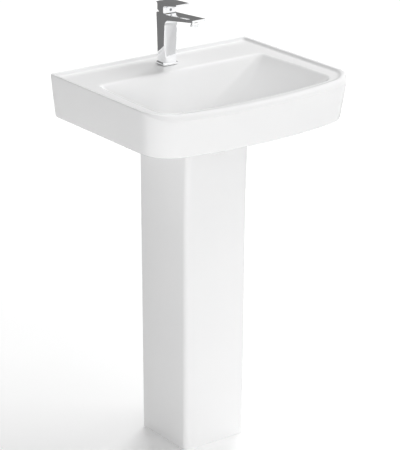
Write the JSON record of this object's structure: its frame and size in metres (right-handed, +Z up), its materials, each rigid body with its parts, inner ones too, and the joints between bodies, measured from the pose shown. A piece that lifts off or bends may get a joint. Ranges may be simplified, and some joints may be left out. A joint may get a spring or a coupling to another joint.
{
  "type": "pedestal sink",
  "caption": "Full-pedestal washbasin in white glazed china with a bowed front, a sloping bowl and a square chrome single-lever mixer tap.",
  "frame": {"origin": "on the floor, on the centre line, halfway between the wall plane and the foremost point of the basin", "axes": "+Z up, +Y towards the wall behind, +X to the right seen from the front"},
  "size_m": [0.52, 0.4199, 0.9865],
  "materials": {
    "china": "gloss",
    "chrome": "polished",
    "brass": "satin",
    "steel": "satin",
    "rubber": "matte",
    "white_plastic": "satin",
    "grey_plastic": "matte",
    "ceramic_disc": "satin"
  },
  "bodies": {
    "fixture": {"aerator_housing": "chrome", "aerator_insert": "white_plastic", "aerator_washer": "rubber", "basin": "china", "bottle_seal": "rubber", "cartridge_base": "grey_plastic", "cartridge_base_seals": "rubber", "cartridge_housing": "grey_plastic", "cartridge_nut": "brass", "fixed_disc": "ceramic_disc", "fixing_nut": "brass", "latch_sleeve": "grey_plastic", "metal_horseshoe_washer": "steel", "mounting_stud": "steel", "pedestal": "china", "plug_spring": "steel", "rubber_horseshoe_washer": "rubber", "tap_base_flange": "chrome", "tap_base_seal": "rubber", "tap_body": "chrome", "trap_body": "white_plastic", "trap_bottle": "white_plastic", "trap_inlet_nut": "white_plastic", "trap_inlet_washer": "rubber", "trap_outlet_nut": "white_plastic", "trap_outlet_washer": "rubber", "waste_backnut": "brass", "waste_body": "chrome", "waste_flange_seal": "rubber", "waste_slip_washer": "white_plastic", "waste_tapered_washer": "rubber"},
    "rotor": {"cartridge_rotor": "grey_plastic", "spindle_pin": "steel"},
    "lever": {"tap_lever": "chrome", "lever_spindle": "brass", "lever_grub_screw": "steel", "indicator_plug": "grey_plastic"},
    "valve": {"moving_disc": "ceramic_disc", "disc_carrier": "grey_plastic"},
    "plug": {"plug_cap": "chrome", "plug_seal": "rubber", "plug_plunger": "brass"}
  },
  "joints": [
    {"name": "tap_swivel", "type": "hinge", "parent": "fixture", "child": "rotor", "pos_m": [0, 0.147, 0.948], "axis": [0, 0, 1], "range_deg": [-50, 50]},
    {"name": "tap_lift", "type": "hinge", "parent": "rotor", "child": "lever", "pos_m": [0, 0.147, 0.948], "axis": [-1, 0, 0], "range_deg": [0, 20]},
    {"name": "disc_slide", "type": "slide", "parent": "rotor", "child": "valve", "axis": [0, -1, 0], "range_m": [0, 0.0028]},
    {"name": "plug_press", "type": "slide", "parent": "fixture", "child": "plug", "axis": [0, 0, 1], "range_m": [-0.01, 0], "stiffness_N_per_m": 400, "springref_m": 0.01, "deforming": ["plug_spring"]}
  ],
  "couplings": [
    {"joint": "disc_slide", "follows": "tap_lift", "m_per_rad": 0.0079}
  ]
}
